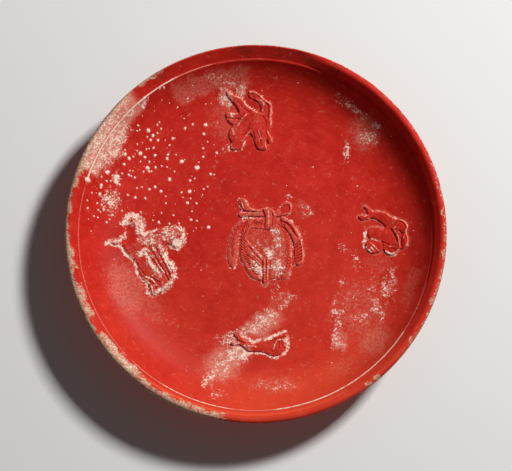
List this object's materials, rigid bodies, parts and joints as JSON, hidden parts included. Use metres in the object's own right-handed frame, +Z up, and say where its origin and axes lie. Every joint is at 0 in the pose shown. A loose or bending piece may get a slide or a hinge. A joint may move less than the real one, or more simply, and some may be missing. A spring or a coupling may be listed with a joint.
{
  "type": "red ware plate",
  "caption": "Round red-slipped earthenware dish on a low foot ring, with a groove below the rim and applied reliefs of a tied wreath and leaping beasts on the floor.",
  "frame": {"origin": "on the dish's axis, in the plane of the foot ring's standing edge", "axes": "+Z up along the axis, out of the dish; +Y towards the beast at the top of the picture, +X to its right"},
  "size_m": [0.18, 0.18, 0.0299],
  "materials": {
    "red_slip": "satin red slip, worn, with pale lime crust",
    "foot_slip": "thin matt red slip, rubbed to the clay on the standing edge",
    "relief_slip": "satin red slip over moulded relief, worn on the high points",
    "lime_crust": "matt chalky crust"
  },
  "bodies": {
    "root": {"plate_body": "red_slip", "foot_ring": "foot_slip", "wreath_relief": "relief_slip", "top_beast_relief": "relief_slip", "right_beast_relief": "relief_slip", "bottom_beast_relief": "relief_slip", "left_beast_relief": "relief_slip"}
  },
  "joints": []
}
